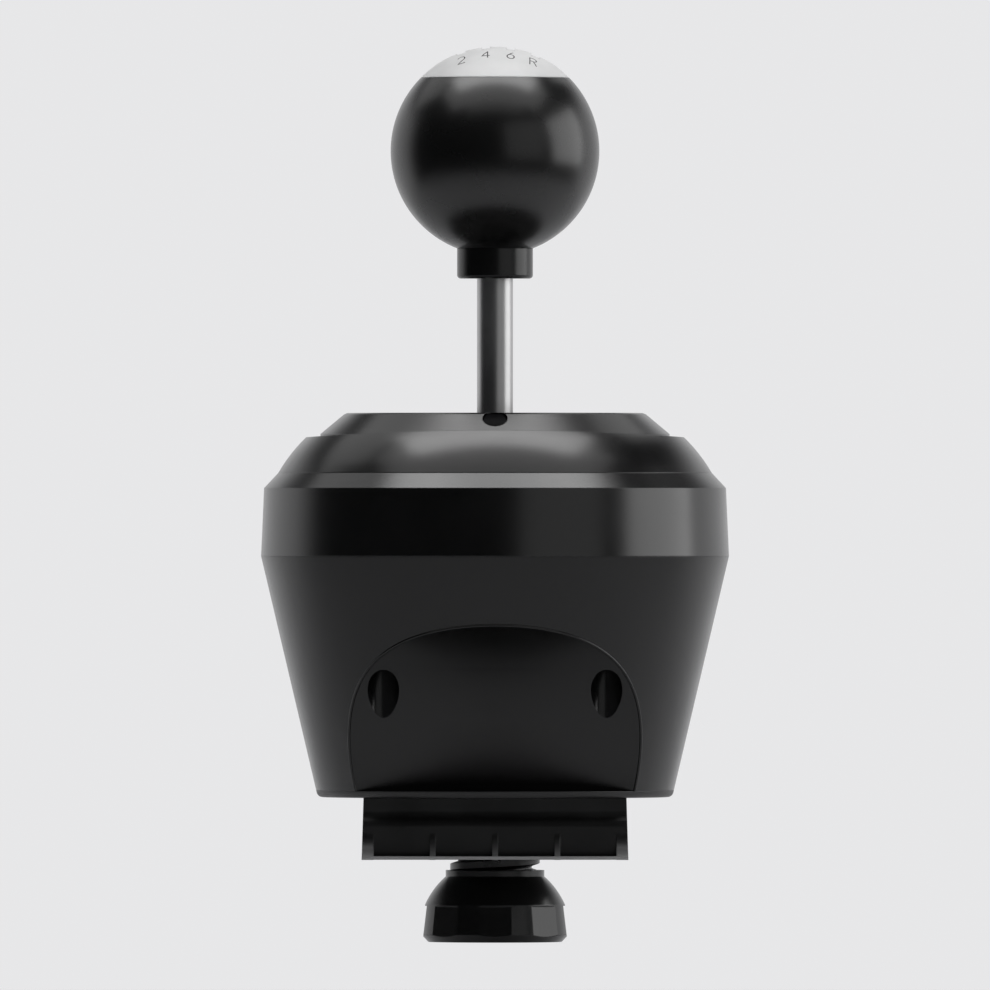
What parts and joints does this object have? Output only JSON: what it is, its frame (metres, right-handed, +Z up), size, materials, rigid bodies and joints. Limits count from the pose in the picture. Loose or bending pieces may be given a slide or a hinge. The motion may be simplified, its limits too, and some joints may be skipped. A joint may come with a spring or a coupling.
{
  "type": "sim racing gear shifter",
  "caption": "Desk-clamped H-pattern gear shifter with a ball knob, gated lever in a round tapered housing and a screw clamp below.",
  "frame": {"origin": "on the lever's axis in the plane of the housing's flat underside, midway between the two threaded rig inserts", "axes": "+X to the driver's right, +Y away from the driver into the desk, +Z up along the lever at rest"},
  "size_m": [0.156, 0.156, 0.2988],
  "materials": {
    "knob_black": "satin black",
    "cap_silver": "satin silver",
    "collar_black": "satin black",
    "insert_brass": "turned",
    "lever_steel": "polished",
    "mechanism_steel": "ground",
    "cast_alloy": "cast",
    "bushing_bronze": "sintered",
    "spring_steel": "blued",
    "magnet_nickel": "plated",
    "dome_black": "smooth",
    "gate_black": "fine powder coat",
    "bezel_black": "satin black",
    "lens_smoke": "smoked, glossy",
    "cover_black": "satin black",
    "ring_black": "satin black",
    "housing_black": "satin black",
    "base_black": "satin black",
    "screw_black": "black oxide",
    "screw_steel": "zinc plated",
    "board_green": "solder mask",
    "socket_steel": "plated",
    "bracket_black": "fine powder coat",
    "rubber_black": "smooth rubber",
    "clamp_plastic": "satin black",
    "wheel_black": "satin black"
  },
  "bodies": {
    "root": {"lower_housing": "housing_black", "upper_ring": "ring_black", "top_cover": "cover_black", "bezel_ring": "bezel_black", "status_lens": "lens_smoke", "gate_plate": "gate_black", "gate_screws": "screw_black", "mechanism_frame": "cast_alloy", "trunnion_bushings": "bushing_bronze", "tilt_sensor_board": "board_green", "centring_springs": "spring_steel", "casing_screws": "screw_steel", "base_plate": "base_black", "rig_inserts": "insert_brass", "main_board": "board_green", "board_screws": "screw_steel", "data_socket": "socket_steel", "clamp_bracket": "bracket_black", "bracket_screws": "screw_black", "throat_pad": "rubber_black"},
    "gimbal": {"gimbal_yoke": "cast_alloy", "tilt_magnet": "magnet_nickel", "swing_sensor_board": "board_green", "detent_leaf": "spring_steel"},
    "lever": {"lever_hub": "mechanism_steel", "hub_pin": "mechanism_steel", "lever_magnet": "magnet_nickel", "lever_shaft": "lever_steel", "dust_dome": "dome_black", "knob_ball": "knob_black", "knob_cap": "cap_silver", "knob_collar": "collar_black", "knob_insert": "insert_brass"},
    "pad": {"swivel_pad": "clamp_plastic", "pad_rubber": "rubber_black"},
    "clamp_screw": {"clamp_screw": "clamp_plastic", "clamp_wheel": "wheel_black", "wheel_screw": "screw_steel"}
  },
  "joints": [
    {"name": "side_tilt", "type": "hinge", "parent": "root", "child": "gimbal", "pos_m": [0, 0, 0.055], "axis": [0, 1, 0], "range_deg": [-9.94, 19.32], "stiffness_Nm_per_rad": 4, "deforming": ["centring_springs"]},
    {"name": "fore_aft", "type": "hinge", "parent": "gimbal", "child": "lever", "pos_m": [0, 0, 0.055], "axis": [1, 0, 0], "range_deg": [-12, 12], "deforming": ["detent_leaf"]},
    {"name": "clamp_feed", "type": "slide", "parent": "root", "child": "pad", "axis": [0, 0, 1], "range_m": [-0.025, 0.0035]},
    {"name": "wheel_turn", "type": "hinge", "parent": "pad", "child": "clamp_screw", "pos_m": [0, 0.032, -0.036], "axis": [0, 0, 1], "range_deg": [-1800.01, 252.01]}
  ],
  "couplings": [
    {"joint": "wheel_turn", "follows": "clamp_feed", "rad_per_m": 1256.6}
  ]
}
